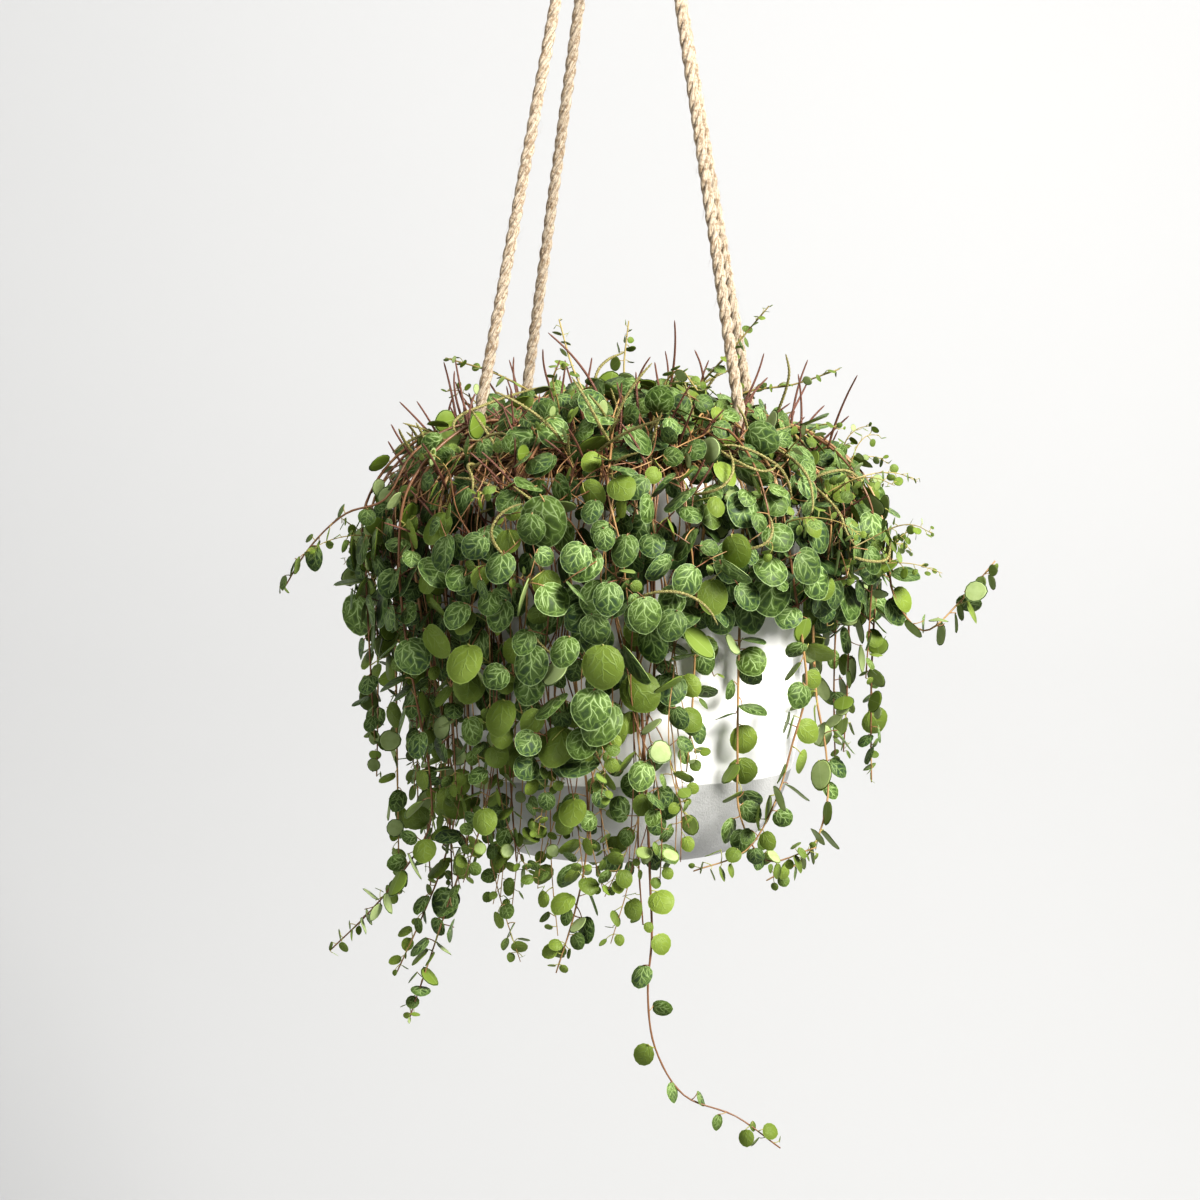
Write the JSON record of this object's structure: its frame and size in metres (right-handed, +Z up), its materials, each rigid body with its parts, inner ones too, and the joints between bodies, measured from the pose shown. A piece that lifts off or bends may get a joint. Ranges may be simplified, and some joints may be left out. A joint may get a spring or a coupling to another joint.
{
  "type": "hanging potted plant",
  "caption": "Trailing string of turtles in a round two-tone hanging pot on jute rope legs that meet in a gathering knot and hanging loop.",
  "frame": {"origin": "inside top of the hanging loop, on the pot's axis", "axes": "+Z up, -Y towards the front of the pot, +X to the right seen from the front"},
  "size_m": [0.3508, 0.2757, 0.7739],
  "materials": {
    "pot_ceramic": "satin",
    "potting_soil": "matte",
    "jute_rope": "matte",
    "foliage": "satin"
  },
  "bodies": {
    "root": {"gathering_knot": "jute_rope", "hanging_loop": "jute_rope", "pot": "pot_ceramic", "rope_left_back": "jute_rope", "rope_left_front": "jute_rope", "rope_right_back": "jute_rope", "rope_right_front": "jute_rope", "shoot_1": "foliage", "shoot_2": "foliage", "shoot_3": "foliage", "shoot_4": "foliage", "shoot_5": "foliage", "shoot_6": "foliage", "shoot_7": "foliage", "soil": "potting_soil", "stopper_knot_left_back": "jute_rope", "stopper_knot_left_front": "jute_rope", "stopper_knot_right_back": "jute_rope", "stopper_knot_right_front": "jute_rope", "trail_1": "foliage", "trail_10": "foliage", "trail_11": "foliage", "trail_12": "foliage", "trail_13": "foliage", "trail_14": "foliage", "trail_15": "foliage", "trail_16": "foliage", "trail_17": "foliage", "trail_18": "foliage", "trail_19": "foliage", "trail_2": "foliage", "trail_20": "foliage", "trail_21": "foliage", "trail_22": "foliage", "trail_23": "foliage", "trail_24": "foliage", "trail_25": "foliage", "trail_26": "foliage", "trail_27": "foliage", "trail_28": "foliage", "trail_29": "foliage", "trail_3": "foliage", "trail_30": "foliage", "trail_31": "foliage", "trail_4": "foliage", "trail_5": "foliage", "trail_6": "foliage", "trail_7": "foliage", "trail_8": "foliage", "trail_9": "foliage", "trail_cross_right": "foliage", "trail_front_left": "foliage", "trail_longest": "foliage", "trail_loop_right": "foliage", "trail_reach_left": "foliage", "trail_reach_right": "foliage", "trail_splay_low": "foliage", "trail_splay_mid": "foliage", "trail_splay_wide": "foliage", "trail_sweep_left": "foliage"}
  },
  "joints": []
}
